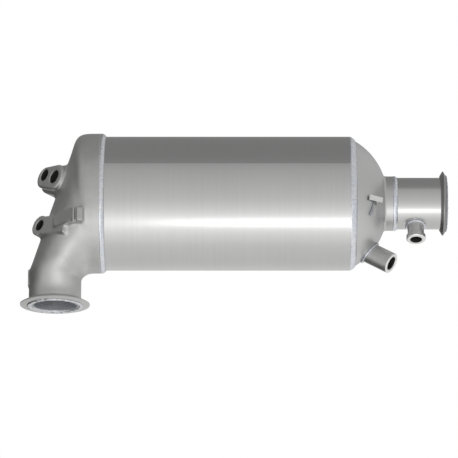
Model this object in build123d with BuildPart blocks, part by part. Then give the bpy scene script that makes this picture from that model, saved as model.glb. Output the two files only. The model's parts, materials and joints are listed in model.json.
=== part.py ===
from build123d import *
from math import acos, atan, atan2, cos, degrees, hypot, radians, sin, sqrt, tan
import os

# Diesel particulate filter with a cast inlet housing, in millimetres.
# The origin is the centre of the inlet mouth, +Z runs up the inlet neck, and the canister
# lies along +X. The front side, with the sensor bosses, faces -Y.

os.makedirs("parts", exist_ok=True)

# Bricks and their mats, from the inlet end
brick_od = 143.8
mat_gap = 4.35
catalyst_length = 76.2
catalyst_inset = 16.0
brick_spacing = 14.0
filter_end_gap = 12.8
mat_margin = 6.0
seal_ring_width = 5.0
brick_edge = 1.0

# Canister: rolled sheet round the mats, with one long butt seam
can_wall = 1.5
can_length = 296.8
axis_height = 123.2
seam_lift = 19.6
seam_gap = 1.2

# Inlet housing: one casting
neck_od = 60.3
neck_straight = 12.0
neck_step = 5.0
cast_wall = 4.9
corner_radius = 12.0
rim_reach = 55.3
rim_wall = 3.4
rim_bevel = 2.8
socket_depth = 12.0
slip_fit = 0.15
back_lean = 18.5
heel_rise = 9.0
shoulder_radius = 13.0
chin_bulge = 16.0
chin_start = 13.0
chin_end = 48.0
narrowing_start = 0.1
narrowing_power = 0.75
fan_steps = 16
fan_crowding = 1.4
rim_lead = 6.0

# Twin-port boss on the housing's back wall
twin_place = (-7.4, -29.0, 25.0)
twin_turn = 50.4
twin_lift = 11.6
twin_drop = 19.5
twin_pitch = 22.0
twin_rear_od = 26.0
twin_rear_sink = 2.4
twin_front_od = 31.0
twin_depth = 38.0
twin_edge = 2.4
twin_shoulder = 3.2
twin_shoulder_drop = 9.0
rear_port_bore = 14.0
front_port_bore = 16.0

# Single-port boss and the rib that carries it
single_place = (-17.7, -29.6, -34.6)
single_turn = 45.8
single_lift = 13.3
single_od = 25.0
single_depth = 32.0
single_bore = 13.0
rib_end = (17.0, -61.0, -42.8)
rib_od = 23.6

# Slotted lug beside the single-port boss
lug_top = -27.0
lug_height = 16.3
lug_web_height = 17.0
lug_web_fall = 4.5
lug_reach = 34.4
lug_front = 82.5
lug_face = 10.8
lug_root = (0.0, -57.0)
lug_back = 20.0
lug_slot = 2.4
lug_slot_depth = 5.0
lug_edge = 1.6

# Raised pad on the neck
pad_height = 19.0
pad_width = 16.0
pad_foot = 22.7
pad_proud = 1.0

# V-band flanges: turned rings that slip over the tube ends
inlet_flange_od = 80.4
inlet_flange_depth = 6.6
inlet_flange_slope = 7.0
outlet_flange_od = 74.4
outlet_flange_depth = 7.2
outlet_flange_slope = 30.0
flange_land = 1.0
flange_lip = 2.0
flange_step = 0.4

# Outlet cone, pressed from sheet
cone_wall = 1.5
cone_skirt = 12.0
cone_length = 40.4
cone_bulge = 6.2
cone_shoulder = 8.0
cone_throat = 3.0
collar_length = 9.8
collar_insert = 8.0

# Outlet pipe
pipe_od = 60.0
pipe_wall = 2.0
pipe_length = 70.4

# Threaded boss on the cone: its face's place along, inside the canister's radius and round to the front
cone_boss_run = 48.3
cone_boss_inset = 2.9
cone_boss_side = 6.2
cone_boss_turn = -68.2
cone_boss_lift = -30.3
cone_boss_od = 24.4
cone_boss_bore = 16.2
cone_boss_depth = 50.0
cone_boss_bevel = 0.8

# Pressure port on the outlet pipe
port_run = 34.5
port_lean = 15.0
port_height = 48.7
port_body_od = 19.0
port_collar_od = 22.2
port_collar_length = 6.0
port_bore = 14.0
port_stem_bore = 8.0
port_stem_bore_depth = 9.0
port_bevel = 0.8

# Tab on the cone: a sheet leg that stands up from it, with a flag across the leg's end
tab_run = 25.2
tab_inset = 20.8
tab_side = 70.0
tab_turn = -52.8
tab_lift = -7.2
tab_tilt = 11.0
tab_sheet = 1.6
tab_leg = 20.0
tab_stand = 5.6
tab_root = 6.0
flag_turn = -38.0
flag_lift = -8.0
flag_tilt = 1.0
flag_length = 19.0
flag_height = 6.0
flag_shift = -3.0
flag_rise = 1.5

# Weld beads
bead_crown = 0.9
girth_toe = 2.8
cone_bead_run = 7.2
collar_bead_run = 5.4
collar_bead_rise = 1.1
mouth_bead_share = 0.65
mouth_bead_proud = 0.6
mouth_bead_toe = 1.1
boss_bead = 2.2
tab_bead = 1.2

# Worked-out sizes
can_radius = brick_od / 2 + mat_gap + can_wall
neck_radius = neck_od / 2
pipe_radius = pipe_od / 2
rim_radius = can_radius + slip_fit + rim_wall
socket_radius = can_radius + slip_fit
can_start = rim_reach - socket_depth
can_end = can_start + can_length
pivot_x = neck_radius + corner_radius
pivot_z = axis_height - rim_radius - corner_radius
pivot = Vector(pivot_x, 0, pivot_z)
catalyst_start = can_start + catalyst_inset
filter_start = catalyst_start + catalyst_length + brick_spacing
filter_length = can_end - filter_end_gap - filter_start
cone_radius = can_radius - can_wall - slip_fit
collar_radius = pipe_radius + slip_fit + cone_wall
cone_end = can_end + cone_length
collar_end = cone_end + collar_length
pipe_start = collar_end - collar_insert
pipe_end = pipe_start + pipe_length

can_axis = Axis((0, 0, axis_height), (1, 0, 0))
can_side = Plane(origin=(0, 0, axis_height), x_dir=(1, 0, 0), z_dir=(0, -1, 0))


def facing(turn, lift):
    """Direction turned left of the front and lifted above the horizontal, in degrees."""
    flat = cos(radians(lift))
    return Vector(-flat * sin(radians(turn)), -flat * cos(radians(turn)), sin(radians(lift)))


def from_axis(place):
    """A place whose height is given from the canister's axis."""
    return Vector(place[0], place[1], axis_height + place[2])


def around_cone(run, inset, side):
    """A place past the canister's end, inside its radius, at an angle from below towards the front."""
    reach = can_radius - inset
    return Vector(can_end + run, -reach * sin(radians(side)), axis_height - reach * cos(radians(side)))


def across(x):
    """Cross-section plane of the canister, its local x along +Y and its local y up."""
    return Plane(origin=(x, 0, axis_height), x_dir=(0, 1, 0), z_dir=(1, 0, 0))


def outline_reach(angle, inset):
    """From the inner corner's centre to the side outline, at an angle from upright."""
    lean = radians(back_lean)
    top = 2 * rim_radius + corner_radius - inset
    neck_back = pivot_x + neck_radius
    back = neck_back * cos(lean) + heel_rise * sin(lean) - inset
    bend = shoulder_radius - inset
    rise = top - bend
    run = (rise * sin(lean) - back + bend) / cos(lean)
    if angle < atan2(-run, top):
        return top / cos(angle)
    if angle > atan2(bend * cos(lean) - run, rise + bend * sin(lean)):
        return min(back / sin(angle + lean), (neck_back - inset) / sin(angle))
    along = rise * cos(angle) - run * sin(angle)
    return along + sqrt(along**2 - run**2 - rise**2 + bend**2)


def half_width(angle, height, inset):
    """Half the duct's width in Y: the neck, the chin that swells above it, then the full rim."""
    rise = min(max((height - chin_start) / (chin_end - chin_start), 0), 1)
    chin = neck_radius + chin_bulge * rise**2 * (3 - 2 * rise)
    turned = max(sin(angle) - narrowing_start, 0) / (1 - narrowing_start)
    return rim_radius - (rim_radius - chin) * turned**narrowing_power - inset


def duct_section(angle, inset):
    """One section of the duct, on a plane through the inner corner's centre."""
    near = corner_radius + inset
    far = outline_reach(angle, inset)
    outward = Vector(-sin(angle), 0, cos(angle))
    travel = Vector(cos(angle), 0, sin(angle))
    plane = Plane(origin=pivot + outward * (near + far) / 2, x_dir=outward, z_dir=travel)
    with BuildSketch(plane) as section:
        Ellipse((far - near) / 2, half_width(angle, plane.origin.Z, inset))
    return section.sketch


def duct_sections(inset):
    """Sections up the neck, then fanned about the inner corner and crowded at its top, then the round rim."""
    sections = []
    neck_count = round((pivot_z - neck_straight) / neck_step)
    for step in range(neck_count):
        height = neck_straight + (pivot_z - neck_straight) * step / neck_count
        with BuildSketch(Plane(origin=(0, 0, height), x_dir=(-1, 0, 0), z_dir=(0, 0, 1))) as level:
            Ellipse(neck_radius - inset, half_width(radians(90), height, inset))
        sections.append(level.sketch)
    for step in range(fan_steps):
        sections.append(duct_section(radians(90) * (1 - step / fan_steps) ** fan_crowding, inset))
    for reach in (pivot_x, pivot_x + rim_lead):
        with BuildSketch(across(reach)) as rim:
            Circle(rim_radius - inset)
        sections.append(rim.sketch)
    return sections


def twin_outline(margin):
    """Outline of the twin-port boss in its own plane: round about each port, with straight flanks."""
    rear = Vector(-twin_pitch / 2, -twin_rear_sink)
    front = Vector(twin_pitch / 2, 0)
    rear_radius = twin_rear_od / 2 + margin
    front_radius = twin_front_od / 2 + margin
    along = (front - rear).normalized()
    spread = degrees(acos((rear_radius - front_radius) / (front - rear).length))
    upper = along.rotate(Axis.Z, spread)
    lower = along.rotate(Axis.Z, -spread)
    rear_top = rear + upper * rear_radius
    rear_foot = rear + lower * rear_radius
    front_top = front + upper * front_radius
    front_foot = front + lower * front_radius
    with BuildSketch() as outline:
        with BuildLine():
            Line(rear_top, front_top)
            ThreePointArc(front_top, front + along * front_radius, front_foot)
            Line(front_foot, rear_foot)
            ThreePointArc(rear_foot, rear - along * rear_radius, rear_top)
        make_face()
    return outline.sketch


# Twin-port boss: a stub square to its own face, on a wider shoulder set back from it
twin_plane = Plane(
    origin=from_axis(twin_place),
    x_dir=facing(twin_turn - 90, -twin_drop),
    z_dir=facing(twin_turn, twin_lift),
)
with BuildPart() as twin_boss:
    with BuildSketch(twin_plane):
        add(twin_outline(0))
    extrude(amount=-twin_depth)
    fillet(twin_boss.faces().sort_by(Axis(twin_plane.origin, twin_plane.z_dir))[-1].edges(), twin_edge)
    with BuildSketch(twin_plane.offset(-twin_shoulder_drop)):
        add(twin_outline(twin_shoulder))
    extrude(amount=twin_shoulder_drop - twin_depth)

# Single-port boss: a round stub, with a half-round rib that runs on along the wall
single_plane = Plane(
    origin=from_axis(single_place),
    x_dir=facing(single_turn - 90, 0),
    z_dir=facing(single_turn, single_lift),
)
rib_run = from_axis(rib_end) - single_plane.origin
with BuildPart() as single_boss:
    with BuildSketch(Plane(origin=single_plane.origin, z_dir=rib_run)):
        Circle(rib_od / 2)
    extrude(amount=rib_run.length)
    with BuildSketch(single_plane):
        Circle(2 * single_od)
    extrude(amount=2 * single_od, mode=Mode.SUBTRACT)
    with BuildSketch(single_plane):
        Circle(single_od / 2)
    extrude(amount=-single_depth)

# Lug: a plate that stands out from the wall, with a slot down its face and a web that leans on it
lug_plane = Plane.XY.offset(axis_height + lug_top)
lug_left = lug_reach - lug_face
with BuildPart() as lug:
    with BuildSketch(lug_plane):
        with Locations((lug_left, -lug_front)):
            Rectangle(lug_face, lug_front - lug_back, align=(Align.MIN, Align.MIN))
    extrude(amount=-lug_height)
    fillet(lug.edges().group_by(Axis.Z)[-1].group_by(Axis.Y)[0], lug_edge)
    with BuildSketch(lug_plane):
        with BuildLine():
            Polyline(
                lug_root,
                (lug_left, -lug_front),
                (lug_left, -lug_back),
                (lug_root[0], -lug_back),
                close=True,
            )
        make_face()
    extrude(amount=-lug_web_height)
    with BuildSketch(Plane(origin=(lug_left, 0, axis_height + lug_top), x_dir=(-1, 0, 0), z_dir=(0, 1, 0))):
        with BuildLine():
            Polyline((0, 0), (lug_left - lug_root[0], 0), (lug_left - lug_root[0], -lug_web_fall), close=True)
        make_face()
    extrude(amount=-lug_front, mode=Mode.SUBTRACT)
    with BuildSketch(lug_plane):
        with Locations((lug_left + lug_slot, -lug_front)):
            Rectangle(lug_slot, 2 * lug_slot_depth)
    extrude(amount=-lug_height, mode=Mode.SUBTRACT)

# Housing: the lofted elbow with its rim and neck, hollowed by the same elbow one wall smaller
with BuildPart() as inlet_cavity:
    loft(duct_sections(cast_wall))
    with BuildSketch(Plane.XY):
        Circle(neck_radius - cast_wall)
    extrude(amount=neck_straight)
    with BuildSketch(across(can_start)):
        Circle(socket_radius)
    extrude(amount=socket_depth)

with BuildPart() as inlet_housing:
    loft(duct_sections(0))
    with BuildSketch(Plane.XY):
        Circle(neck_radius)
    extrude(amount=neck_straight)
    with BuildSketch(across(pivot_x + rim_lead)):
        Circle(rim_radius)
    extrude(amount=rim_reach - rim_lead - pivot_x)
    chamfer(inlet_housing.faces().sort_by(Axis.X)[-1].edges(), rim_bevel)
    add(twin_boss.part)
    add(single_boss.part)
    add(lug.part)
    with BuildSketch(Plane.XY.offset(pad_foot)):
        with Locations((-neck_radius - pad_proud, 0)):
            Rectangle(neck_radius, pad_width, align=(Align.MIN, Align.CENTER))
    extrude(amount=pad_height)
    add(inlet_cavity.part, mode=Mode.SUBTRACT)
    with Locations(twin_plane):
        with Locations((-twin_pitch / 2, 0)):
            Hole(rear_port_bore / 2, twin_depth)
        with Locations((twin_pitch / 2, 0)):
            Hole(front_port_bore / 2, twin_depth)
    with Locations(single_plane):
        Hole(single_bore / 2, single_depth)
inlet_housing.part.label = "inlet_housing"
export_step(inlet_housing.part, "parts/inlet_housing.step")


def flange_profile(plane, tube_radius, rim, depth, slope):
    """Half section of a V-band flange; the plane's x is the radius, its y runs in from the mouth."""
    bore = tube_radius + slip_fit
    shoulder = bore + flange_lip
    front = flange_step + (rim - shoulder) * tan(radians(slope))
    with BuildSketch(plane) as profile:
        with BuildLine():
            Polyline(
                (bore, flange_step),
                (shoulder, flange_step),
                (rim, front),
                (rim, front + flange_land),
                (shoulder, depth),
                (bore, depth),
                close=True,
            )
        make_face()
    return profile.sketch


def mouth_bead_profile(plane, tube_radius, tube_wall, slope):
    """Half section of the bead that joins a tube's end to the front of its flange."""
    shoulder = tube_radius + slip_fit + flange_lip
    toe = (shoulder + mouth_bead_toe, flange_step + mouth_bead_toe * tan(radians(slope)))
    start = (tube_radius - mouth_bead_share * tube_wall, 0)
    with BuildSketch(plane) as profile:
        with BuildLine():
            Polyline(start, (tube_radius, 0), (tube_radius, flange_step), (shoulder, flange_step), toe)
            ThreePointArc(toe, (tube_radius, -mouth_bead_proud), start)
        make_face()
    return profile.sketch


inlet_mouth = Plane.XZ
outlet_mouth = Plane(origin=(pipe_end, 0, axis_height), x_dir=(0, 0, 1), z_dir=(0, -1, 0))

with BuildPart() as inlet_flange:
    rim = inlet_flange_od / 2
    add(flange_profile(inlet_mouth, neck_radius, rim, inlet_flange_depth, inlet_flange_slope))
    revolve(axis=Axis.Z)
inlet_flange.part.label = "inlet_flange"
export_step(inlet_flange.part, "parts/inlet_flange.step")

with BuildPart() as inlet_flange_weld:
    add(mouth_bead_profile(inlet_mouth, neck_radius, cast_wall, inlet_flange_slope))
    revolve(axis=Axis.Z)
inlet_flange_weld.part.label = "inlet_flange_weld"
export_step(inlet_flange_weld.part, "parts/inlet_flange_weld.step")

# Girth weld in the bevel between the housing's rim and the canister
girth_start = (rim_reach - rim_bevel, rim_radius)
girth_end = (rim_reach + girth_toe, can_radius)
with BuildPart() as inlet_girth_weld:
    with BuildSketch(can_side):
        with BuildLine():
            Polyline(girth_start, (rim_reach, rim_radius - rim_bevel), (rim_reach, can_radius), girth_end)
            SagittaArc(girth_end, girth_start, -bead_crown)
        make_face()
    revolve(axis=can_axis)
inlet_girth_weld.part.label = "inlet_girth_weld"
export_step(inlet_girth_weld.part, "parts/inlet_girth_weld.step")

# Canister: a rolled sheet, closed by one long butt weld
with BuildPart() as canister_shell:
    with BuildSketch(across(can_start)):
        Circle(can_radius)
        Circle(can_radius - can_wall, mode=Mode.SUBTRACT)
        with PolarLocations(can_radius, 1, start_angle=180 - seam_lift):
            Rectangle(4 * can_wall, seam_gap, mode=Mode.SUBTRACT)
    extrude(amount=can_length)
canister_shell.part.label = "canister_shell"
export_step(canister_shell.part, "parts/canister_shell.step")

with BuildPart() as shell_seam_weld:
    with BuildSketch(across(can_start)):
        Circle(can_radius)
        Circle(can_radius - can_wall, mode=Mode.SUBTRACT)
        with PolarLocations(can_radius, 1, start_angle=180 - seam_lift):
            Rectangle(4 * can_wall, seam_gap, mode=Mode.INTERSECT)
    extrude(amount=can_length)
shell_seam_weld.part.label = "shell_seam_weld"
export_step(shell_seam_weld.part, "parts/shell_seam_weld.step")


# Bricks, each held by a mat whose two edges are guarded by wire rings
for name, start, length in (
    ("catalyst", catalyst_start, catalyst_length),
    ("filter", filter_start, filter_length),
):
    mat_start = start + mat_margin
    mat_length = length - 2 * mat_margin
    with BuildPart() as monolith:
        with BuildSketch(across(start)):
            Circle(brick_od / 2)
        extrude(amount=length)
        chamfer(monolith.edges().filter_by(GeomType.CIRCLE), brick_edge)
    monolith.part.label = name + "_monolith"
    export_step(monolith.part, "parts/" + name + "_monolith.step")

    with BuildPart() as mat:
        with BuildSketch(across(mat_start)):
            Circle(can_radius - can_wall)
            Circle(brick_od / 2, mode=Mode.SUBTRACT)
        extrude(amount=mat_length)
    mat.part.label = name + "_mat"
    export_step(mat.part, "parts/" + name + "_mat.step")

    with BuildPart() as seal_rings:
        with BuildSketch(across(mat_start - seal_ring_width), across(mat_start + mat_length)):
            Circle(can_radius - can_wall)
            Circle(brick_od / 2, mode=Mode.SUBTRACT)
        extrude(amount=seal_ring_width)
    seal_rings.part.label = name + "_seal_rings"
    export_step(seal_rings.part, "parts/" + name + "_seal_rings.step")


def cone_outline(grow):
    """Solid inside the cone's outer surface, which is moved outward by a margin."""
    chord = hypot(cone_length, cone_radius - collar_radius)
    slope = atan2(cone_radius - collar_radius, cone_length)
    half_arc = 2 * atan(2 * cone_bulge / chord)
    shoulder_x = can_end + grow * tan((slope - half_arc) / 2)
    throat_x = cone_end + grow * tan((slope + half_arc) / 2)
    flank_start = (shoulder_x, cone_radius + grow)
    flank_end = (throat_x, collar_radius + grow)
    foot = can_end - cone_skirt
    with BuildPart() as form:
        with BuildSketch(can_side):
            with BuildLine():
                SagittaArc(flank_start, flank_end, cone_bulge)
                Polyline(flank_end, (collar_end, collar_radius + grow), (collar_end, 0))
                Polyline((collar_end, 0), (foot, 0), (foot, cone_radius + grow), flank_start)
            make_face()
        revolve(axis=can_axis)
        for bend, radius in ((shoulder_x, cone_shoulder + grow), (throat_x, cone_throat - grow)):
            rings = form.edges().filter_by(GeomType.CIRCLE)
            fillet([ring for ring in rings if abs(ring.center().X - bend) < slip_fit], radius)
    return form.part


cone_solid = cone_outline(0)
cone_boss_plane = Plane(
    origin=around_cone(cone_boss_run, cone_boss_inset, cone_boss_side),
    x_dir=facing(cone_boss_turn - 90, 0),
    z_dir=facing(cone_boss_turn, cone_boss_lift),
)

# Cone: pressed sheet, open at both ends, with the sensor's hole through it
with BuildPart() as outlet_cone:
    add(cone_solid)
    add(cone_outline(-cone_wall), mode=Mode.SUBTRACT)
    with Locations(cone_boss_plane):
        Hole(cone_boss_bore / 2, cone_boss_depth)
outlet_cone.part.label = "outlet_cone"
export_step(outlet_cone.part, "parts/outlet_cone.step")

# Girth weld in the corner between the canister's end and the cone
cone_bead_start = (can_end, can_radius)
cone_bead_end = (can_end + cone_bead_run, cone_radius - cone_bead_run / 2)
with BuildPart() as outlet_girth_weld:
    with BuildSketch(can_side):
        with BuildLine():
            Polyline(cone_bead_start, (can_end, cone_radius - cone_bead_run), cone_bead_end)
            SagittaArc(cone_bead_end, cone_bead_start, -bead_crown)
        make_face()
    revolve(axis=can_axis)
    add(cone_solid, mode=Mode.SUBTRACT)
outlet_girth_weld.part.label = "outlet_girth_weld"
export_step(outlet_girth_weld.part, "parts/outlet_girth_weld.step")

# Pressure port's own frame, square to the pipe, and the outlet pipe with the port's hole
port_plane = Plane(
    origin=(pipe_start + port_run, 0, axis_height),
    x_dir=(1, 0, 0),
    z_dir=facing(0, port_lean - 90),
)
with BuildPart() as outlet_pipe:
    with BuildSketch(across(pipe_start)):
        Circle(pipe_radius)
        Circle(pipe_radius - pipe_wall, mode=Mode.SUBTRACT)
    extrude(amount=pipe_length)
    with BuildSketch(port_plane):
        Circle(port_stem_bore / 2)
    extrude(amount=port_height, mode=Mode.SUBTRACT)
outlet_pipe.part.label = "outlet_pipe"
export_step(outlet_pipe.part, "parts/outlet_pipe.step")

collar_bead_start = (collar_end, pipe_radius + collar_bead_rise)
collar_bead_end = (collar_end + collar_bead_run, pipe_radius)
with BuildPart() as outlet_collar_weld:
    with BuildSketch(can_side):
        with BuildLine():
            Polyline(collar_bead_start, (collar_end, pipe_radius), collar_bead_end)
            SagittaArc(collar_bead_end, collar_bead_start, -bead_crown)
        make_face()
    revolve(axis=can_axis)
outlet_collar_weld.part.label = "outlet_collar_weld"
export_step(outlet_collar_weld.part, "parts/outlet_collar_weld.step")

with BuildPart() as outlet_flange:
    rim = outlet_flange_od / 2
    add(flange_profile(outlet_mouth, pipe_radius, rim, outlet_flange_depth, outlet_flange_slope))
    revolve(axis=can_axis)
outlet_flange.part.label = "outlet_flange"
export_step(outlet_flange.part, "parts/outlet_flange.step")

with BuildPart() as outlet_flange_weld:
    add(mouth_bead_profile(outlet_mouth, pipe_radius, pipe_wall, outlet_flange_slope))
    revolve(axis=can_axis)
outlet_flange_weld.part.label = "outlet_flange_weld"
export_step(outlet_flange_weld.part, "parts/outlet_flange_weld.step")

# Sensor boss: a turned, bored stub whose foot is cut to the cone
with BuildPart() as cone_sensor_boss:
    with BuildSketch(cone_boss_plane):
        Circle(cone_boss_od / 2)
    extrude(amount=-cone_boss_depth)
    add(cone_solid, mode=Mode.SUBTRACT)
    with BuildSketch(cone_boss_plane):
        Circle(cone_boss_bore / 2)
    extrude(amount=-cone_boss_depth, mode=Mode.SUBTRACT)
    face_rings = cone_sensor_boss.faces().sort_by(Axis(cone_boss_plane.origin, cone_boss_plane.z_dir))[-1]
    chamfer(face_rings.edges(), cone_boss_bevel)
cone_sensor_boss.part.label = "cone_sensor_boss"
export_step(cone_sensor_boss.part, "parts/cone_sensor_boss.step")

with BuildPart() as cone_sensor_boss_weld:
    with BuildSketch(cone_boss_plane):
        Circle(cone_boss_od / 2 + boss_bead)
        Circle(cone_boss_od / 2, mode=Mode.SUBTRACT)
    extrude(amount=-cone_boss_depth)
    add(cone_outline(boss_bead), mode=Mode.INTERSECT)
    add(cone_solid, mode=Mode.SUBTRACT)
cone_sensor_boss_weld.part.label = "cone_sensor_boss_weld"
export_step(cone_sensor_boss_weld.part, "parts/cone_sensor_boss_weld.step")

# Pressure port: a turned stub with a wider collar, its foot cut to the pipe
with BuildPart() as pressure_port:
    with BuildSketch(port_plane):
        Circle(port_body_od / 2)
    extrude(amount=port_height - port_collar_length)
    with BuildSketch(port_plane.offset(port_height - port_collar_length)):
        Circle(port_collar_od / 2)
    extrude(amount=port_collar_length)
    chamfer(pressure_port.edges().filter_by(GeomType.CIRCLE).group_by(SortBy.LENGTH)[-1], port_bevel)
    with BuildSketch(across(pipe_start)):
        Circle(pipe_radius)
    extrude(amount=pipe_length, mode=Mode.SUBTRACT)
    with BuildSketch(port_plane.offset(port_height)):
        Circle(port_bore / 2)
    extrude(amount=-port_stem_bore_depth, mode=Mode.SUBTRACT)
    with BuildSketch(port_plane):
        Circle(port_stem_bore / 2)
    extrude(amount=port_height, mode=Mode.SUBTRACT)
pressure_port.part.label = "pressure_port"
export_step(pressure_port.part, "parts/pressure_port.step")

with BuildPart() as pressure_port_weld:
    with BuildSketch(port_plane):
        Circle(port_body_od / 2 + boss_bead)
        Circle(port_body_od / 2, mode=Mode.SUBTRACT)
    extrude(amount=port_height)
    with BuildSketch(across(pipe_start)):
        Circle(pipe_radius + boss_bead)
    extrude(amount=pipe_length, mode=Mode.INTERSECT)
    with BuildSketch(across(pipe_start)):
        Circle(pipe_radius)
    extrude(amount=pipe_length, mode=Mode.SUBTRACT)
pressure_port_weld.part.label = "pressure_port_weld"
export_step(pressure_port_weld.part, "parts/pressure_port_weld.step")

# Tab: leg and flag are one folded strip, its foot cut to the cone
tab_plane = Plane(
    origin=around_cone(tab_run, tab_inset, tab_side),
    x_dir=facing(tab_turn - 90, -tab_tilt),
    z_dir=facing(tab_turn, tab_lift),
)
flag_level = (tab_leg - flag_height) / 2 + flag_rise
flag_plane = Plane(
    origin=tab_plane.from_local_coords((flag_shift, flag_level, tab_stand - tab_sheet)),
    x_dir=facing(flag_turn - 90, -flag_tilt),
    z_dir=facing(flag_turn, flag_lift),
)
with BuildPart() as bracket_tab:
    with BuildSketch(tab_plane.offset(-tab_root)):
        Rectangle(tab_sheet, tab_leg)
    extrude(amount=tab_root + tab_stand)
    add(cone_solid, mode=Mode.SUBTRACT)
    with BuildSketch(flag_plane):
        Rectangle(flag_length, flag_height)
    extrude(amount=tab_sheet)
bracket_tab.part.label = "bracket_tab"
export_step(bracket_tab.part, "parts/bracket_tab.step")

with BuildPart() as bracket_tab_weld:
    with BuildSketch(tab_plane.offset(-tab_root)):
        Rectangle(tab_sheet + 2 * tab_bead, tab_leg + 2 * tab_bead)
        Rectangle(tab_sheet, tab_leg, mode=Mode.SUBTRACT)
    extrude(amount=tab_root + tab_stand)
    add(cone_outline(tab_bead), mode=Mode.INTERSECT)
    add(cone_solid, mode=Mode.SUBTRACT)
    add(bracket_tab.part, mode=Mode.SUBTRACT)
bracket_tab_weld.part.label = "bracket_tab_weld"
export_step(bracket_tab_weld.part, "parts/bracket_tab_weld.step")
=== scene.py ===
"""Studio scene of an exhaust filter: camera, light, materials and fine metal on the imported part."""

import json
import math

import bmesh
import bpy
import numpy as np
from mathutils import Matrix, Vector, kdtree, noise


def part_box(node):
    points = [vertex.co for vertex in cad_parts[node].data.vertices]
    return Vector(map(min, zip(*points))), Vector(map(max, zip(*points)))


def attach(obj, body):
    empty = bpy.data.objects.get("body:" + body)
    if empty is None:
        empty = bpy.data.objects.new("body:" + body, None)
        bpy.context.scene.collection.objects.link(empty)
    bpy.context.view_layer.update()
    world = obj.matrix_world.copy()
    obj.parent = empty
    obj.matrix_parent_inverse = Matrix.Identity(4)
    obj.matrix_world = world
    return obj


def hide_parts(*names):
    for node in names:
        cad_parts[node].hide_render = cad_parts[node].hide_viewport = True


MM = 0.001

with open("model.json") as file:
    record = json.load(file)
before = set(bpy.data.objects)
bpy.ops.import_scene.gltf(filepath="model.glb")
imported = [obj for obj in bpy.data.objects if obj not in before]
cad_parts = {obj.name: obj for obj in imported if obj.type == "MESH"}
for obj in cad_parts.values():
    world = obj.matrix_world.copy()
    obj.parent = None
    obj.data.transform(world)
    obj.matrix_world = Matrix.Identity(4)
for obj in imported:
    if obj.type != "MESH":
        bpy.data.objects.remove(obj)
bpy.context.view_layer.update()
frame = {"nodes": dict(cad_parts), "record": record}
nodes = frame["nodes"]
mounts = {mount["name"]: mount for mount in frame["record"]["mounts"]}
scene = bpy.context.scene
scene.view_settings.view_transform = "Standard"

# Sizes read from the frame
can_low, can_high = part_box("canister_shell")
pipe_low, pipe_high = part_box("outlet_pipe")
girth_low, girth_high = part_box("inlet_girth_weld")
cone_bead_low, cone_bead_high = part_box("outlet_girth_weld")
collar_low, collar_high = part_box("outlet_collar_weld")
axis_z = (can_low.z + can_high.z) / 2
can_radius = (can_high.z - can_low.z) / 2
pipe_radius = (pipe_high.z - pipe_low.z) / 2
CAN_AXIS = (Vector((0, 0, axis_z)), Vector((1, 0, 0)))
NECK_AXIS = (Vector((0, 0, 0)), Vector((0, 0, 1)))

# Camera of the photograph: nearly square-on, looking up at the canister
CAMERA_TARGET = Vector((0.2007, 0.0082, axis_z - 0.0283))
CAMERA_RISE = math.radians(-16)
CAMERA_DISTANCE = 3.9
CAMERA_LENS = 263.7
CAMERA_REACH = 50.0

# Floor: far enough down that the camera, which looks up, is still above it
FLOOR_DROP = 2.9
FLOOR_HALF = 6.0
FLOOR_GLOW = 0.6

# Lamp: a faint soft strip below and in front, for the bright line along the canister's outlet half
KEY_PLACE = Vector((0.38, -0.75, axis_z - 0.84))
KEY_TARGET = Vector((0.36, 0, axis_z))
KEY_SIZE = (0.5, 0.2)
KEY_POWER = 0.5

# Brightness of the room by angle: 0 is the level in front, 90 overhead, -90 below, 180 behind
ROOM = (
    (-180, 0.76),
    (-130, 0.74),
    (-95, 0.82),
    (-72, 1.04),
    (-53, 1.32),
    (-43, 1.32),
    (-28, 1.00),
    (-8, 0.76),
    (25, 0.60),
    (53, 0.50),
    (58, 0.27),
    (150, 0.27),
    (180, 0.50),
)
ROOM_RIGHT_HIGH = 0.62
ROOM_RIGHT_LOW = 0.86
ROOM_LEFT_FRONT = 0.52
ROOM_LEFT_LOW = 0.82
ROOM_LEFT_BACK = 0.09
ROOM_LEFT_HIGH = 0.27

# Where the room changes from one brightness to the next, by how far a direction points that way
TO_RIGHT = (0.06, 0.5)
TO_LEFT = (0.06, 0.45)
RIGHT_UPWARDS = (-0.45, 0.1)
LEFT_FRONT_UPWARDS = (-0.6, -0.1)
LEFT_BACK_UPWARDS = (0.15, 0.6)
LEFT_BACKWARDS = (-0.35, 0.15)

# Colours
WHITE = (1.0, 1.0, 1.0)
FLOOR_TONE = (0.94, 0.94, 0.94)
SHEET_TONE = (0.62, 0.62, 0.615)
SEAM_TONE = (0.66, 0.66, 0.66)
# Painted light: the tab is far lighter than the same sheet elsewhere, for its lit underside
TAB_PAINTED_LIGHT_TONE = (0.88, 0.88, 0.87)
CAST_TONE = (0.60, 0.60, 0.588)
# Painted light: a lighter, bluish tone for the neck's bore, standing in for light that reaches into
# it
NECK_PAINTED_LIGHT_TONE = (0.83, 0.85, 0.88)
TURNED_TONE = (0.62, 0.62, 0.605)
# Painted shade: a dark tone for the outlet flange, standing in for the shade on its flare
FLANGE_PAINTED_SHADE_TONE = (0.36, 0.36, 0.355)
BRIGHT_TONE = (0.93, 0.93, 0.92)
# Painted shade: a near-black for the walls inside the ports, standing in for the shade in the holes
PAINTED_SHADE_TONE = (0.035, 0.034, 0.033)
WELD_TONE = (0.80, 0.81, 0.84)
MOUTH_TONE = (0.76, 0.77, 0.78)
DULL_TONE = (0.50, 0.51, 0.54)
WELD_BLUE = (0.93, 0.955, 1.0)
FIBRE_TONE = (0.78, 0.75, 0.68)
WIRE_TONE = (0.50, 0.49, 0.47)
BRICK_TONE = (0.60, 0.55, 0.46)
FILTER_TONE = (0.40, 0.39, 0.37)

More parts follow.
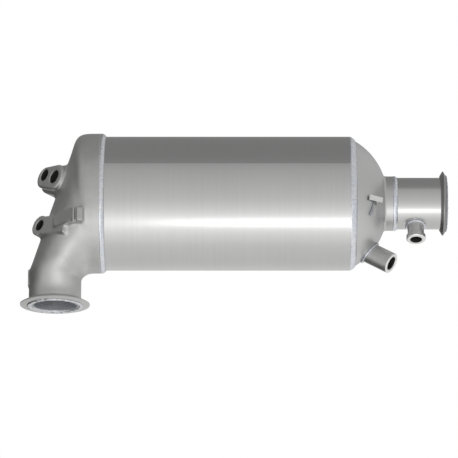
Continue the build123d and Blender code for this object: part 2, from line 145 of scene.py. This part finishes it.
# Ports: a port's mount lies inside its mouth by the inset; the neck's bore gets painted light up to a
# height
# The walls of these ports get painted shade
CAST_PORTS = ("rear_twin_port", "front_twin_port", "single_port")
PORT_INSET = 2 * MM
NECK_BORE = mounts["inlet_bore"]["dims"]["r_mm"] * MM
NECK_PAINTED_LIGHT_FADE = (20 * MM, 40 * MM)


# Node helpers


def fill(tree, made, values):
    """Sets a node's inputs by name or number. A value is a number, a colour or a node's output."""
    for key, value in values.items():
        if isinstance(value, bpy.types.NodeSocket):
            tree.links.new(value, made.inputs[key])
        else:
            made.inputs[key].default_value = value


def node(tree, kind, values=None, **settings):
    """Adds a shader node with its settings and inputs."""
    made = tree.nodes.new(kind)
    for key, setting in settings.items():
        setattr(made, key, setting)
    fill(tree, made, values or {})
    return made


def maths(tree, operation, *terms):
    """Output of a Math node."""
    return node(tree, "ShaderNodeMath", dict(enumerate(terms)), operation=operation).outputs[0]


def vector_maths(tree, operation, *terms):
    """A Vector Math node."""
    return node(tree, "ShaderNodeVectorMath", dict(enumerate(terms)), operation=operation)


def summed(tree, first, first_share, second, second_share):
    """Two patterns added by their shares."""
    first = maths(tree, "MULTIPLY", first, first_share)
    second = maths(tree, "MULTIPLY", second, second_share)
    return maths(tree, "ADD", first, second)


def spread(tree, value, low, high, to_low=0.0, to_high=1.0):
    """Output of a smooth Map Range node."""
    values = {0: value, 1: low, 2: high, 3: to_low, 4: to_high}
    made = node(tree, "ShaderNodeMapRange", values, interpolation_type="SMOOTHSTEP", clamp=True)
    return made.outputs[0]


def blend_colour(tree, share, first, second):
    """Output of a colour Mix node."""
    values = {0: share}
    for key, colour in ((6, first), (7, second)):
        values[key] = colour if isinstance(colour, bpy.types.NodeSocket) else (*colour, 1)
    return node(tree, "ShaderNodeMix", values, data_type="RGBA").outputs[2]


def scaled(tone, factor):
    """A darker or lighter tone."""
    return tuple(level * factor for level in tone)


def mottled(tree, share, tone, dark, light):
    """A tone that goes from a dark to a light version of itself."""
    return blend_colour(tree, share, scaled(tone, dark), scaled(tone, light))


def fractal(tree, place, scale, detail=3.0, roughness=0.5):
    """Output of a noise texture. The scale counts per metre of the object's own coordinates."""
    values = {"Vector": place, "Scale": scale, "Detail": detail, "Roughness": roughness}
    return node(tree, "ShaderNodeTexNoise", values).outputs["Fac"]


def stretched(tree, place, factors):
    """The place with each of its axes scaled, so that a noise on it is drawn out."""
    return vector_maths(tree, "MULTIPLY", place, factors).outputs[0]


def parts_of(tree, vector):
    """The three parts of a vector."""
    return node(tree, "ShaderNodeSeparateXYZ", {0: vector}).outputs


def about_axis(tree, place, axis):
    """Distance from an axis, and distance along it."""
    origin, direction = (tuple(part) for part in axis)
    arm = vector_maths(tree, "SUBTRACT", place, origin).outputs[0]
    cross = vector_maths(tree, "CROSS_PRODUCT", arm, direction).outputs[0]
    radius = vector_maths(tree, "LENGTH", cross).outputs["Value"]
    along = vector_maths(tree, "DOT_PRODUCT", arm, direction).outputs["Value"]
    return radius, along


def mount_axis(name):
    """A port's axis, from the record."""
    return Vector(mounts[name]["pos_m"]), Vector(mounts[name]["axis"])


def painted_shade_mask(tree, place, ports):
    """Where painted shade goes: 1 on the walls of the named ports, 0 elsewhere."""
    share = 0.0
    for port in ports:
        radius, along = about_axis(tree, place, mount_axis(port))
        bore = mounts[port]["dims"]["r_mm"] * MM
        inside = spread(tree, radius, bore + 0.05 * MM, bore + 0.25 * MM, 1.0, 0.0)
        deep = spread(tree, along, PORT_INSET - 1.0 * MM, PORT_INSET - 0.3 * MM, 1.0, 0.0)
        share = maths(tree, "MAXIMUM", share, maths(tree, "MULTIPLY", inside, deep))
    return share


def neck_painted_light_mask(tree, place):
    """Where painted light goes: 1 on the wall of the neck's bore near its mouth, 0 elsewhere."""
    radius, along = about_axis(tree, place, NECK_AXIS)
    inside = spread(tree, radius, NECK_BORE + 0.2 * MM, NECK_BORE + 0.8 * MM, 1.0, 0.0)
    return maths(tree, "MULTIPLY", inside, spread(tree, along, *NECK_PAINTED_LIGHT_FADE, 1.0, 0.0))


def material(name):
    """A new material, its tree, its Principled shader and the object's own coordinates."""
    made = bpy.data.materials.new(name)
    made.use_nodes = True
    tree = made.node_tree
    place = node(tree, "ShaderNodeTexCoord").outputs["Object"]
    return made, tree, tree.nodes["Principled BSDF"], place


def relief(tree, shader, pattern, height, under=None):
    """Bumps a shader by a pattern, on top of another bump if one is given."""
    bump = node(tree, "ShaderNodeBump", {"Height": pattern, "Strength": 1.0, "Distance": height})
    if under is not None:
        fill(tree, bump, {"Normal": under.outputs[0]})
    fill(tree, shader, {"Normal": bump.outputs[0]})
    return bump


# Materials


def sheet_metal(name, tone, gloss, streak_scale):
    """Satin rolled sheet: slow clouds and faint streaks, whose scale differs by axis."""
    made, tree, shader, place = material(name)
    clouds = fractal(tree, place, scale=14.0, detail=2.0)
    drawn_out = stretched(tree, place, streak_scale)
    streaks = fractal(tree, drawn_out, scale=1.0, detail=4.0, roughness=0.6)
    shade = summed(tree, clouds, 0.45, streaks, 0.55)
    values = {
        "Base Color": mottled(tree, spread(tree, shade, 0.3, 0.7), tone, dark=0.98, light=1.015),
        "Roughness": spread(tree, shade, 0.3, 0.7, gloss + 0.015, gloss - 0.01),
        "Metallic": 1.0,
    }
    fill(tree, shader, values)
    grain = relief(tree, shader, streaks, height=0.0006 * MM)
    relief(tree, shader, clouds, height=0.08 * MM, under=grain)
    return made


def cast_metal(name, tone, gloss):
    """Blasted casting: fine grain, shallow pits, a slow waviness, painted light on the neck's bore
    and painted shade in the ports.
    """
    made, tree, shader, place = material(name)
    grain = fractal(tree, place, scale=2600.0, detail=2.0, roughness=0.6)
    pits = fractal(tree, place, scale=700.0, detail=3.0, roughness=0.6)
    waves = fractal(tree, place, scale=45.0, detail=2.0)
    shade = spread(tree, summed(tree, waves, 0.5, pits, 0.5), 0.32, 0.68)
    colour = mottled(tree, shade, tone, dark=0.93, light=1.05)
    # Painted light: the neck's bore is lightened up to a height above its mouth
    colour = blend_colour(tree, neck_painted_light_mask(tree, place), colour, NECK_PAINTED_LIGHT_TONE)
    # Painted shade: the port walls are darkened almost to black and made less metallic
    painted_port_shade = painted_shade_mask(tree, place, CAST_PORTS)
    values = {
        "Base Color": blend_colour(tree, painted_port_shade, colour, PAINTED_SHADE_TONE),
        "Roughness": spread(tree, pits, 0.3, 0.7, gloss - 0.04, gloss + 0.05),
        "Metallic": spread(tree, painted_port_shade, 0.0, 1.0, 1.0, 0.3),
    }
    fill(tree, shader, values)
    fine = relief(tree, shader, grain, height=0.03 * MM)
    coarse = relief(tree, shader, pits, height=0.05 * MM, under=fine)
    relief(tree, shader, waves, height=0.5 * MM, under=coarse)
    return made


def weld_metal(name, tone, gloss, dent, grain=900.0):
    """Fresh weld: bright and slightly blue, with smooth and scaled patches and dark valleys."""
    made, tree, shader, place = material(name)
    scales = fractal(tree, place, scale=grain, detail=3.0, roughness=0.6)
    patches = spread(tree, fractal(tree, place, scale=120.0, detail=2.0), 0.4, 0.6)
    blue = tuple(level * share for level, share in zip(tone, WELD_BLUE))
    colour = blend_colour(tree, patches, blue, tone)
    above_valley = spread(tree, scales, 0.34, 0.46)
    values = {
        "Base Color": blend_colour(tree, above_valley, scaled(tone, 0.55), colour),
        "Roughness": spread(tree, scales, 0.35, 0.65, gloss, gloss + 0.12),
        "Metallic": 1.0,
    }
    fill(tree, shader, values)
    relief(tree, shader, scales, height=dent)
    return made


def turned_metal(name, tone, gloss, axis, pitch, ports=()):
    """Turned steel: fine tool marks about an axis, bright end faces and painted shade in the threaded
    ports.
    """
    made, tree, shader, place = material(name)
    radius, along = about_axis(tree, place, axis)
    way = maths(tree, "ADD", radius, along)
    marks = maths(tree, "SINE", maths(tree, "MULTIPLY", way, 2 * math.pi / pitch))
    blotches = fractal(tree, place, scale=160.0, detail=2.0)
    colour = mottled(tree, spread(tree, blotches, 0.35, 0.65), tone, dark=0.96, light=1.03)
    metallic = 1.0
    if ports:
        face = spread(tree, along, PORT_INSET - 0.9 * MM, PORT_INSET - 0.4 * MM)
        # Painted shade: the port walls are darkened almost to black and made less metallic
        painted_port_shade = painted_shade_mask(tree, place, ports)
        colour = blend_colour(tree, face, colour, BRIGHT_TONE)
        colour = blend_colour(tree, painted_port_shade, colour, PAINTED_SHADE_TONE)
        metallic = spread(tree, painted_port_shade, 0.0, 1.0, 1.0, 0.5)
    values = {
        "Base Color": colour,
        "Roughness": spread(tree, blotches, 0.3, 0.7, gloss - 0.03, gloss + 0.04),
        "Metallic": metallic,
    }
    fill(tree, shader, values)
    relief(tree, shader, marks, height=0.006 * MM)
    return made


def cell_ceramic(name, tone, cell, wall, plugged):
    """Extruded honeycomb brick: square cells on its end faces, every other one plugged if asked. The
    open cells are dented and painted near-black as shade down their channels.
    """
    made, tree, shader, place = material(name)
    parts = parts_of(tree, place)
    rows = maths(tree, "DIVIDE", parts[1], cell)
    columns = maths(tree, "DIVIDE", parts[2], cell)
    across = maths(tree, "PINGPONG", rows, 0.5)
    edge = maths(tree, "MINIMUM", across, maths(tree, "PINGPONG", columns, 0.5))
    half_wall = wall / cell / 2
    open_cell = spread(tree, edge, half_wall, half_wall + 0.06)
    if plugged:
        count = maths(tree, "ADD", maths(tree, "FLOOR", rows), maths(tree, "FLOOR", columns))
        odd = maths(tree, "ABSOLUTE", maths(tree, "MODULO", count, 2.0))
        open_cell = maths(tree, "MULTIPLY", open_cell, odd)
    facing = parts_of(tree, node(tree, "ShaderNodeNewGeometry").outputs["Normal"])[0]
    end_face = spread(tree, maths(tree, "ABSOLUTE", facing), 0.6, 0.9)
    painted_hole_shade_and_dent = maths(tree, "MULTIPLY", open_cell, end_face)
    grains = fractal(tree, place, scale=1800.0, detail=3.0, roughness=0.65)
    pale = mottled(tree, grains, tone, dark=0.86, light=1.08)
    values = {
        # Painted shade: open cells on the end faces are darkened to stand in for the shade down their
        # channels
        "Base Color": blend_colour(tree, painted_hole_shade_and_dent, pale, scaled(tone, 0.05)),
        "Roughness": 0.85,
    }
    fill(tree, shader, values)
    dent = relief(tree, shader, maths(tree, "SUBTRACT", 1.0, painted_hole_shade_and_dent), height=0.6 * MM)
    relief(tree, shader, grains, height=0.05 * MM, under=dent)
    return made


def fibre_mat(name, tone):
    """Pressed ceramic fibre: matted and flecked."""
    made, tree, shader, place = material(name)
    drawn_out = stretched(tree, place, (900.0, 260.0, 260.0))
    fibres = fractal(tree, drawn_out, scale=1.0, detail=4.0, roughness=0.7)
    flecks = fractal(tree, place, scale=420.0, detail=2.0)
    values = {
        "Base Color": mottled(tree, fibres, tone, dark=0.8, light=1.06),
        "Roughness": 0.95,
        "Sheen Weight": 0.2,
    }
    fill(tree, shader, values)
    matted = relief(tree, shader, fibres, height=0.25 * MM)
    relief(tree, shader, flecks, height=0.3 * MM, under=matted)
    return made


def knitted_wire(name, tone):
    """Knitted steel wire, pressed into a ring."""
    made, tree, shader, place = material(name)
    values = {"Vector": place, "Scale": 900.0}
    cells = node(tree, "ShaderNodeTexVoronoi", values, feature="DISTANCE_TO_EDGE")
    loops = cells.outputs["Distance"]
    values = {
        "Base Color": (*tone, 1),
        "Roughness": spread(tree, loops, 0.0, 0.25, 0.35, 0.75),
        "Metallic": 1.0,
    }
    fill(tree, shader, values)
    relief(tree, shader, spread(tree, loops, 0.0, 0.2, 1.0, 0.0), height=0.4 * MM)
    return made


cast_steel = cast_metal("cast_steel", CAST_TONE, gloss=0.46)
bright_weld = weld_metal("bright_weld", WELD_TONE, gloss=0.12, dent=0.14 * MM)
mouth_weld = weld_metal("mouth_weld", MOUTH_TONE, gloss=0.12, dent=0.8 * MM, grain=260.0)
dull_weld = weld_metal("dull_weld", DULL_TONE, gloss=0.34, dent=0.1 * MM)
boss_steel = turned_metal(
    "boss_steel",
    TURNED_TONE,
    gloss=0.42,
    axis=mount_axis("cone_sensor_port"),
    pitch=0.4 * MM,
    ports=("cone_sensor_port",),
)
port_steel = turned_metal(
    "port_steel",
    TURNED_TONE,
    gloss=0.38,
    axis=mount_axis("pressure_port_socket"),
    pitch=0.4 * MM,
    ports=("pressure_port_socket",),
)
mat_fibre = fibre_mat("mat_fibre", FIBRE_TONE)
ring_wire = knitted_wire("ring_wire", WIRE_TONE)

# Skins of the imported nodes. The welds that aren't named are replaced by finer pieces below
SKINS = {
    "inlet_housing": cast_steel,
    "inlet_flange": turned_metal("inlet_flange_steel", TURNED_TONE, 0.34, NECK_AXIS, 0.5 * MM),
    # Painted shade: the outlet flange gets a dark tone for the shade on its flare
    "outlet_flange": turned_metal("outlet_flange_steel", FLANGE_PAINTED_SHADE_TONE, 0.38, CAN_AXIS, 0.5 * MM),
    "canister_shell": sheet_metal("canister_steel", SHEET_TONE, 0.22, (420.0, 9.0, 9.0)),
    "shell_seam_weld": sheet_metal("seam_steel", SEAM_TONE, 0.3, (420.0, 90.0, 90.0)),
    "outlet_cone": sheet_metal("cone_steel", SHEET_TONE, 0.40, (30.0, 30.0, 30.0)),
    "outlet_pipe": sheet_metal("pipe_steel", SHEET_TONE, 0.25, (60.0, 6.0, 6.0)),
    # Painted light: the tab's sheet is lightened for its lit underside
    "bracket_tab": sheet_metal("tab_painted_light_steel", TAB_PAINTED_LIGHT_TONE, 0.2, (220.0, 60.0, 220.0)),
    "cone_sensor_boss": boss_steel,
    "pressure_port": port_steel,
    "catalyst_monolith": cell_ceramic("catalyst_ceramic", BRICK_TONE, 1.27 * MM, 0.17 * MM, False),
    "filter_monolith": cell_ceramic("filter_ceramic", FILTER_TONE, 1.8 * MM, 0.36 * MM, True),
    "catalyst_mat": mat_fibre,
    "filter_mat": mat_fibre,
    "catalyst_seal_rings": ring_wire,
    "filter_seal_rings": ring_wire,
}
for name, piece in nodes.items():
    piece.data.materials.clear()
    piece.data.materials.append(SKINS.get(name, bright_weld))


# Pieces


def add_piece(name, mesh, skin, stands_for=None):
    """Adds a mesh to the object as a smooth piece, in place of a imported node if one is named."""
    mesh.materials.clear()
    mesh.materials.append(skin)
    mesh.polygons.foreach_set("use_smooth", [True] * len(mesh.polygons))
    piece = bpy.data.objects.new(name, mesh)
    scene.collection.objects.link(piece)
    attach(piece, "root")
    if stands_for:
        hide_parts(stands_for)


def mesh_from(name, points, faces):
    """A mesh from points and faces."""
    mesh = bpy.data.meshes.new(name)
    mesh.from_pydata([tuple(point) for point in points], [], faces)
    mesh.update()
    return mesh


def loop_faces(rings, ring_size, closed):
    """Quads that join rings of points, and the last ring to the first if asked."""
    faces = []
    for ring in range(rings if closed else rings - 1):
        here = ring * ring_size
        there = (ring + 1) % rings * ring_size
        for step in range(ring_size):
            other = (step + 1) % ring_size
            faces.append((here + step, here + other, there + other, there + step))
    return faces


def wander(where, seed, size):
    """Slow noise about zero, at a point in metres."""
    return noise.noise(Vector(where) / size + Vector((seed * 7.3, seed * 3.1, seed * 5.7)))


# Girth beads: name, node, start and end across the joint as (along, radius), and shape. A shape is
# the crown, the root under the joint, and the pitch and height of the ripples
BEAD_STEPS = 5
BEAD_ACROSS = 9
BEAD_SWEEP = 0.55
BEAD_SWAY = 0.25
BEAD_SWAY_SIZE = 4 * MM
BEAD_DRIFT = 0.35 * MM
BEAD_DRIFT_SIZE = 6 * MM
BEAD_LUMPS = 0.5
BEAD_LUMP_SIZE = 2.2 * MM
SCALLOP_MEAN = 0.6
CONE_BEAD_FALL = 5.1 * MM
GIRTH_SHAPE = (0.95 * MM, 1.2 * MM, 2.2 * MM, 0.5 * MM)
COLLAR_SHAPE = (0.9 * MM, 0.5 * MM, 1.7 * MM, 0.3 * MM)
BEADS = (
    (
        "inlet_girth_bead",
        "inlet_girth_weld",
        (girth_low.x, girth_high.z - axis_z),
        (girth_high.x, can_radius),
        GIRTH_SHAPE,
    ),
    (
        "outlet_girth_bead",
        "outlet_girth_weld",
        (cone_bead_low.x, can_radius),
        (cone_bead_high.x, can_radius - CONE_BEAD_FALL),
        GIRTH_SHAPE,
    ),
    (
        "outlet_collar_bead",
        "outlet_collar_weld",
        (collar_low.x, collar_high.z - axis_z),
        (collar_high.x, pipe_radius),
        COLLAR_SHAPE,
    ),
)


def ring_bead(name, source, start, end, shape, seed):
    """A weld bead round the canister's axis, with ripples that lap like scales."""
    crown, root, pitch, ripple = shape
    origin, direction = CAN_AXIS
    side = direction.orthogonal().normalized()
    other = direction.cross(side)
    chord = Vector(end) - Vector(start)
    lift = Vector((-chord.y, chord.x)).normalized()
    if lift.y < 0:
        lift.negate()
    radius = max(start[1], end[1])
    around = int(2 * math.pi * radius / (pitch / BEAD_STEPS))
    points = []
    for turn in range(around):
        angle = 2 * math.pi * turn / around
        arm = side * math.cos(angle) + other * math.sin(angle)
        seat = arm * radius
        drift = wander(seat, seed, BEAD_DRIFT_SIZE) * BEAD_DRIFT
        sway = BEAD_SWAY * wander(seat, seed + 1, BEAD_SWAY_SIZE)
        profile = []
        for step in range(BEAD_ACROSS + 1):
            share = step / BEAD_ACROSS
            phase = angle * radius / pitch + BEAD_SWEEP * (2 * share - 1) ** 2 + sway
            scallop = abs(math.sin(math.pi * phase)) - SCALLOP_MEAN
            lumps = wander(seat + direction * share * MM, seed + 2, BEAD_LUMP_SIZE)
            dome = 4 * share * (1 - share)
            height = dome * (crown + ripple * scallop + BEAD_LUMPS * ripple * lumps)
            level = Vector(start) + chord * share
            profile.append(level + lift * height + chord.normalized() * drift)
        profile.append(Vector(end) - lift * root)
        profile.append(Vector(start) - lift * root)
        points.extend(origin + direction * point.x + arm * point.y for point in profile)
    mesh = mesh_from(name, points, loop_faces(around, BEAD_ACROSS + 3, True))
    add_piece(name, mesh, bright_weld, source)


for seed, bead in enumerate(BEADS, start=1):
    ring_bead(*bead, seed)


# Reshaped nodes


def remeshed(source, voxel):
    """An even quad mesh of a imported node's shape."""
    helper = bpy.data.objects.new("helper", nodes[source].data.copy())
    scene.collection.objects.link(helper)
    modifier = helper.modifiers.new("even", "REMESH")
    modifier.mode = "VOXEL"
    modifier.voxel_size = voxel
    graph = bpy.context.evaluated_depsgraph_get()
    mesh = bpy.data.meshes.new_from_object(helper.evaluated_get(graph))
    bpy.data.objects.remove(helper)
    return mesh


def vectors_of(mesh, attribute):
    """An attribute of a mesh's points, such as their places or their normals, as an array."""
    flat = np.empty(len(mesh.vertices) * 3)
    mesh.vertices.foreach_get(attribute, flat)
    return flat.reshape(-1, 3)


def move_points(mesh, points):
    """Puts a mesh's points at new places."""
    mesh.vertices.foreach_set("co", points.ravel())
    mesh.update()


RELAX_PULL = 0.5
RELAX_PUSH = -0.53


def relax(mesh, rounds, weight, keep_volume=False):
    """Moves points towards their neighbours' mean, by weight. Every other round can push back."""
    ends = np.empty(len(mesh.edges) * 2, dtype=np.int64)
    mesh.edges.foreach_get("vertices", ends)
    first, second = ends.reshape(-1, 2).T
    points = vectors_of(mesh, "co")
    count = np.bincount(ends, minlength=len(points))[:, None]
    for turn in range(rounds):
        total = np.zeros_like(points)
        for axis in range(3):
            total[:, axis] += np.bincount(first, points[second, axis], len(points))
            total[:, axis] += np.bincount(second, points[first, axis], len(points))
        pull = RELAX_PUSH if keep_volume and turn % 2 else RELAX_PULL
        points += pull * weight * (total / count - points)
    move_points(mesh, points)


# Fillet welds: each with its node, voxel, height and size of its lumps in mm, and skin
FILLET_ROUNDS = 8
FILLET_SWELL = 0.35
FIRST_FILLET_SEED = 4
FILLETS = (
    ("cone_sensor_boss_bead", "cone_sensor_boss_weld", 0.35, 0.4, 1.6, bright_weld),
    ("pressure_port_bead", "pressure_port_weld", 0.3, 0.35, 1.5, bright_weld),
    ("bracket_tab_bead", "bracket_tab_weld", 0.3, 0.3, 1.5, dull_weld),
    ("inlet_flange_bead", "inlet_flange_weld", 0.5, 0.8, 4.0, mouth_weld),
    ("outlet_flange_bead", "outlet_flange_weld", 0.45, 0.5, 2.0, dull_weld),
)


def lumpy_weld(name, source, voxel, lump, size, skin, seed):
    """A small fillet weld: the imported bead, rounded and made uneven."""
    mesh = remeshed(source, voxel * MM)
    relax(mesh, FILLET_ROUNDS, 1.0)
    points = vectors_of(mesh, "co")
    swell = np.array([wander(point, seed, size * MM) for point in points])[:, None]
    points += vectors_of(mesh, "normal") * (swell + FILLET_SWELL) * (lump * MM)
    move_points(mesh, points)
    add_piece(name, mesh, skin, source)


for seed, fillet in enumerate(FILLETS, start=FIRST_FILLET_SEED):
    lumpy_weld(*fillet, seed)


# Casting: the wall turns along a ridge that fans out from the bend's pivot, and the boxes, in mm,
# keep the lug's slot and the neck's pad sharp
CASTING = "inlet_housing"
CAST_VOXEL = 1.0 * MM
CORNER_ANGLE = 0.4
CORNER_SPACING = 1.0 * MM
SAME_POINT = 0.02 * MM
BEND_X = 42.2 * MM
BEND_Z = 30.0 * MM
RIDGE_TURN = 0.1
RIDGE_SPREAD = 0.16
RIDGE_GAIN = 1.5
RIDGE_CLEAR = (2 * MM, 6 * MM)
RIDGE_ROUNDS = 90
FOOT_REACH = (1.5 * MM, 5.5 * MM)
FOOT_ROUNDS = 20
SKIN_ROUNDS = 4
SHARP_BOXES = (((22, -90, 76), (31, -66, 100)), ((-34, -10, 20), (-28, 10, 44)))


def corners(source, inner_only):
    """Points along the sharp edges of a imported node's shape, or along its inner corners alone."""
    form = bmesh.new()
    form.from_mesh(nodes[source].data)
    bmesh.ops.remove_doubles(form, verts=form.verts, dist=SAME_POINT)
    points = []
    for edge in form.edges:
        bend = edge.calc_face_angle_signed(0) if len(edge.link_faces) == 2 else 0
        if bend < -CORNER_ANGLE or (bend > CORNER_ANGLE and not inner_only):
            first, second = (corner.co for corner in edge.verts)
            steps = math.ceil((second - first).length / CORNER_SPACING)
            points.extend(first.lerp(second, (step + 0.5) / steps) for step in range(steps))
    form.free()
    return points


def nearness(places, points, near, far):
    """1 at places within the near distance of a point, falling to 0 at the far distance."""
    tree = kdtree.KDTree(len(points))
    for index, point in enumerate(points):
        tree.insert(point, index)
    tree.balance()
    distance = np.array([tree.find(place)[2] for place in places])
    return np.clip((far - distance) / (far - near), 0, 1)


def cast_housing():
    """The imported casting, soft along its ridge and where bosses, rib and lug leave the wall."""
    mesh = remeshed(CASTING, CAST_VOXEL)
    places = vectors_of(mesh, "co")
    turns = np.arctan2(BEND_X - places[:, 0], places[:, 2] - BEND_Z)
    ridge = np.clip(RIDGE_GAIN * (1 - np.abs(turns - RIDGE_TURN) / RIDGE_SPREAD), 0, 1)
    ridge *= 1 - nearness(places, corners(CASTING, False), *RIDGE_CLEAR)
    feet = nearness(places, corners(CASTING, True), *FOOT_REACH)
    for low, high in SHARP_BOXES:
        above = places > np.array(low) * MM
        feet[np.all(above & (places < np.array(high) * MM), axis=1)] = 0
    relax(mesh, RIDGE_ROUNDS, ridge[:, None])
    relax(mesh, FOOT_ROUNDS, feet[:, None])
    relax(mesh, SKIN_ROUNDS, 1.0, keep_volume=True)
    add_piece("inlet_housing_casting", mesh, cast_steel, CASTING)


cast_housing()


# Threads: each with its port, pitch and depth in mm, skin and slot. A thread's foot, tip and height
# are shares of its pitch
THREAD_SEGMENTS = 40
THREAD_START = 0.8 * MM
THREAD_SUNK = 0.15 * MM
THREAD_FOOT = 0.46
THREAD_TIP = 0.07
THREAD_HEIGHT = 0.55
THREAD_END = 0.02
THREADS = (
    ("rear_twin_thread", "rear_twin_port", 1.5, 12, cast_steel, "cast_steel"),
    ("front_twin_thread", "front_twin_port", 1.5, 12, cast_steel, "cast_steel"),
    ("single_thread", "single_port", 1.5, 12, cast_steel, "cast_steel"),
    ("cone_sensor_thread", "cone_sensor_port", 1.5, 16, boss_steel, "turned_steel"),
    ("pressure_thread", "pressure_port_socket", 1.25, 7, port_steel, "turned_steel"),
)


def thread(name, port, pitch, depth, skin, slot):
    """A helical ridge on the wall of a port, from its mouth inwards."""
    place, direction = mount_axis(port)
    radius = mounts[port]["dims"]["r_mm"] * MM
    side = direction.orthogonal().normalized()
    other = direction.cross(side)
    steps = int(depth / pitch * THREAD_SEGMENTS)
    pitch *= MM
    points = []
    for step in range(steps + 1):
        angle = 2 * math.pi * step / THREAD_SEGMENTS
        arm = side * math.cos(angle) + other * math.sin(angle)
        depth_here = pitch * step / THREAD_SEGMENTS
        centre = place + direction * (PORT_INSET - THREAD_START - depth_here)
        fade = min(1, step / THREAD_SEGMENTS, (steps - step) / THREAD_SEGMENTS + THREAD_END)
        foot = centre + arm * (radius + THREAD_SUNK)
        tip = centre + arm * (radius - THREAD_HEIGHT * pitch * max(fade, THREAD_END))
        points.append(foot + direction * THREAD_FOOT * pitch)
        points.append(tip + direction * THREAD_TIP * pitch)
        points.append(tip - direction * THREAD_TIP * pitch)
        points.append(foot - direction * THREAD_FOOT * pitch)
    faces = loop_faces(steps + 1, 4, False)
    faces.append((3, 2, 1, 0))
    faces.append(tuple(4 * steps + corner for corner in range(4)))
    add_piece(name, mesh_from(name, points, faces), skin)


for row in THREADS:
    thread(*row)


# Room, lamp, floor and camera


def grey(level):
    """A colour of one level."""
    return (level, level, level)


def graded(tree, direction, fade, low, high):
    """A grey that goes from one level to another over a range of a direction."""
    return blend_colour(tree, spread(tree, direction, *fade), grey(low), grey(high))


def studio_room():
    """A room whose brightness depends on the direction, which the camera sees as plain white."""
    world = bpy.data.worlds.new("studio")
    world.use_nodes = True
    scene.world = world
    tree = world.node_tree
    tree.nodes.clear()
    way = parts_of(tree, node(tree, "ShaderNodeTexCoord").outputs["Generated"])
    angle = maths(tree, "ARCTAN2", way[2], maths(tree, "MULTIPLY", way[1], -1.0))
    turn = maths(tree, "ADD", maths(tree, "DIVIDE", angle, 2 * math.pi), 0.5)
    ramp = node(tree, "ShaderNodeValToRGB", {0: turn})
    stops = ramp.color_ramp.elements
    while len(stops) < len(ROOM):
        stops.new(0.5)
    for stop, (degrees, level) in zip(stops, ROOM):
        stop.position = degrees / 360 + 0.5
        stop.color = (*grey(level), 1)

    back = graded(tree, way[2], LEFT_BACK_UPWARDS, ROOM_LEFT_BACK, ROOM_LEFT_HIGH)
    front = graded(tree, way[2], LEFT_FRONT_UPWARDS, ROOM_LEFT_LOW, ROOM_LEFT_FRONT)
    left = blend_colour(tree, spread(tree, way[1], *LEFT_BACKWARDS), front, back)
    right = graded(tree, way[2], RIGHT_UPWARDS, ROOM_RIGHT_LOW, ROOM_RIGHT_HIGH)
    to_left = spread(tree, maths(tree, "MULTIPLY", way[0], -1.0), *TO_LEFT)
    level = blend_colour(tree, spread(tree, way[0], *TO_RIGHT), ramp.outputs["Color"], right)
    level = blend_colour(tree, to_left, level, left)
    seen = node(tree, "ShaderNodeLightPath").outputs["Is Camera Ray"]
    colour = blend_colour(tree, seen, level, WHITE)
    light = node(tree, "ShaderNodeBackground", {"Color": colour, "Strength": 1.0})
    node(tree, "ShaderNodeOutputWorld", {"Surface": light.outputs[0]})


def aimed(place, target):
    """The matrix of a camera or lamp at a place that looks at a target."""
    look = (target - place).to_track_quat("-Z", "Y")
    return Matrix.Translation(place) @ look.to_matrix().to_4x4()


def key_lamp():
    """A soft lamp that the camera doesn't see."""
    lamp = bpy.data.lights.new("key", "AREA")
    lamp.shape = "RECTANGLE"
    lamp.size, lamp.size_y = KEY_SIZE
    lamp.energy = KEY_POWER
    piece = bpy.data.objects.new("key", lamp)
    scene.collection.objects.link(piece)
    piece.matrix_world = aimed(KEY_PLACE, KEY_TARGET)
    piece.visible_camera = False


def plain_floor():
    """A pale floor, which the metal doesn't reflect."""
    low = axis_z - FLOOR_DROP
    turns = ((-1, -1), (1, -1), (1, 1), (-1, 1))
    points = [(x * FLOOR_HALF, y * FLOOR_HALF, low) for x, y in turns]
    mesh = mesh_from("floor", points, [(0, 1, 2, 3)])
    paper, tree, shader, place = material("floor_paper")
    fibres = fractal(tree, place, scale=600.0)
    values = {
        "Base Color": blend_colour(tree, fibres, FLOOR_TONE, WHITE),
        "Emission Color": (*WHITE, 1),
        "Emission Strength": FLOOR_GLOW,
    }
    fill(tree, shader, values)
    mesh.materials.append(paper)
    floor = bpy.data.objects.new("floor", mesh)
    scene.collection.objects.link(floor)
    floor.visible_glossy = False
    floor.visible_diffuse = False


def photo_camera():
    """The camera that the photograph was taken with."""
    lens = bpy.data.cameras.new("camera")
    lens.lens = CAMERA_LENS
    lens.clip_end = CAMERA_REACH
    camera = bpy.data.objects.new("camera", lens)
    scene.collection.objects.link(camera)
    away = Vector((0, -math.cos(CAMERA_RISE), math.sin(CAMERA_RISE)))
    camera.matrix_world = aimed(CAMERA_TARGET + away * CAMERA_DISTANCE, CAMERA_TARGET)
    scene.camera = camera


studio_room()
plain_floor()
key_lamp()
photo_camera()
